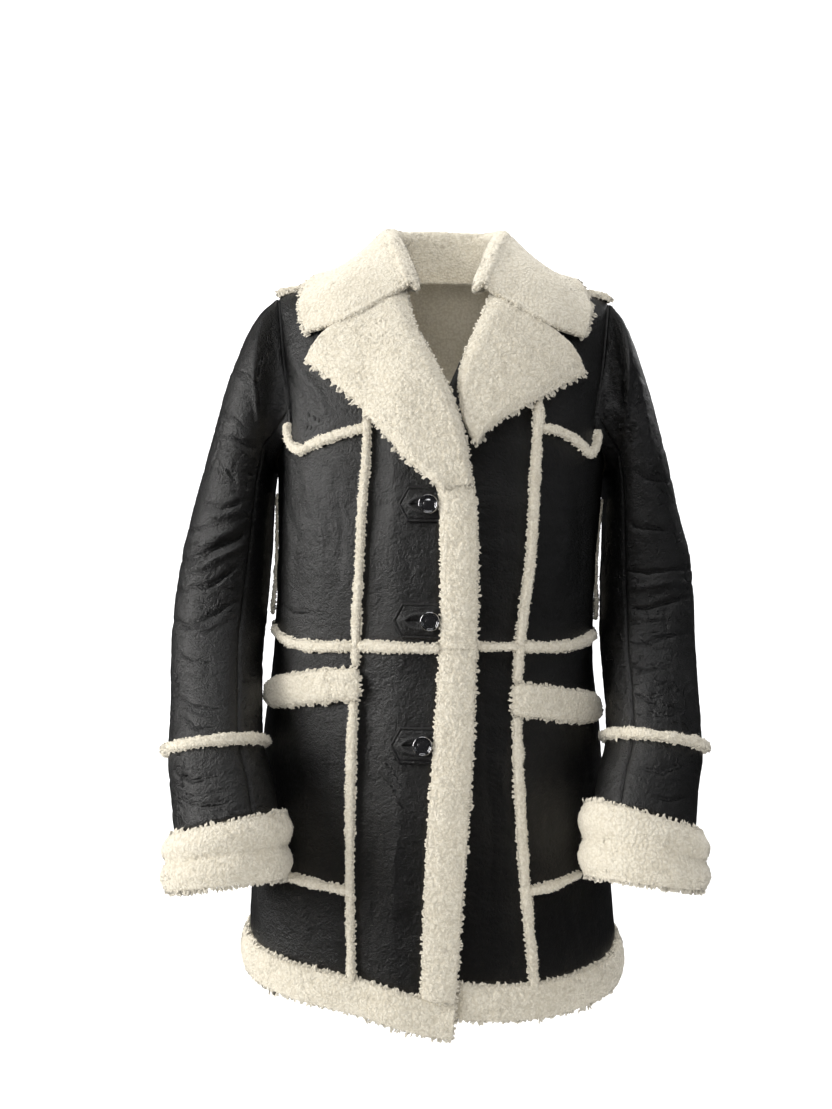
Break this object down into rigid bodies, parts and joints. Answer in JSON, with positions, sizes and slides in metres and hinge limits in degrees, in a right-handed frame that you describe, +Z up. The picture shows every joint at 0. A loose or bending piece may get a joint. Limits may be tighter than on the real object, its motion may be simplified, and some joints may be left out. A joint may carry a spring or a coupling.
{
  "type": "shearling coat",
  "caption": "Thigh-length dark leather shearling coat with wide notched lapels, curly cream wool edges, wool-trimmed seams, pocket flaps and deep wool cuffs.",
  "frame": {"origin": "centre of the neck opening, level with the neck end of the shoulders", "axes": "+Z up, -Y the front of the coat, +X the wearer's left"},
  "size_m": [0.586, 0.3539, 0.8791],
  "materials": {
    "leather": "near-black nappa leather, fine grain, semi-matt",
    "wool": "cream sheared wool with curly tufted edges, matt",
    "button_metal": "polished metal ring buttons"
  },
  "bodies": {
    "root": {"front_right_centre_upper": "leather", "front_right_centre_lower": "leather", "front_right_yoke": "leather", "front_right_side_upper": "leather", "front_right_side_middle": "leather", "front_right_side_lower": "leather", "sleeve_right_top_upper": "leather", "sleeve_right_top_lower": "leather", "sleeve_right_under_upper": "leather", "sleeve_right_under_lower": "leather", "front_left_centre_upper": "leather", "front_left_centre_lower": "leather", "front_left_yoke": "leather", "front_left_side_upper": "leather", "front_left_side_middle": "leather", "front_left_side_lower": "leather", "sleeve_left_top_upper": "leather", "sleeve_left_top_lower": "leather", "sleeve_left_under_upper": "leather", "sleeve_left_under_lower": "leather", "back_upper": "leather", "back_lower": "leather", "buttonhole_patch_1": "leather", "buttonhole_patch_2": "leather", "buttonhole_patch_3": "leather", "hem_right": "wool", "lapel_right": "wool", "cuff_right": "wool", "pocket_flap_right": "wool", "hem_left": "wool", "lapel_left": "wool", "cuff_left": "wool", "pocket_flap_left": "wool", "front_band_upper": "wool", "front_band_lower": "wool", "hem_back": "wool", "collar": "wool", "princess_trim_right_upper": "wool", "princess_trim_right_lower": "wool", "yoke_trim_right": "wool", "waist_trim_right": "wool", "waist_trim_right_centre": "wool", "lower_trim_right": "wool", "side_trim_right": "wool", "shoulder_trim_right": "wool", "sleeve_trim_right": "wool", "princess_trim_left_upper": "wool", "princess_trim_left_lower": "wool", "yoke_trim_left": "wool", "waist_trim_left": "wool", "waist_trim_left_centre": "wool", "lower_trim_left": "wool", "side_trim_left": "wool", "shoulder_trim_left": "wool", "sleeve_trim_left": "wool", "waist_trim_back": "wool", "button_1": "button_metal", "button_2": "button_metal", "button_3": "button_metal"}
  },
  "joints": []
}
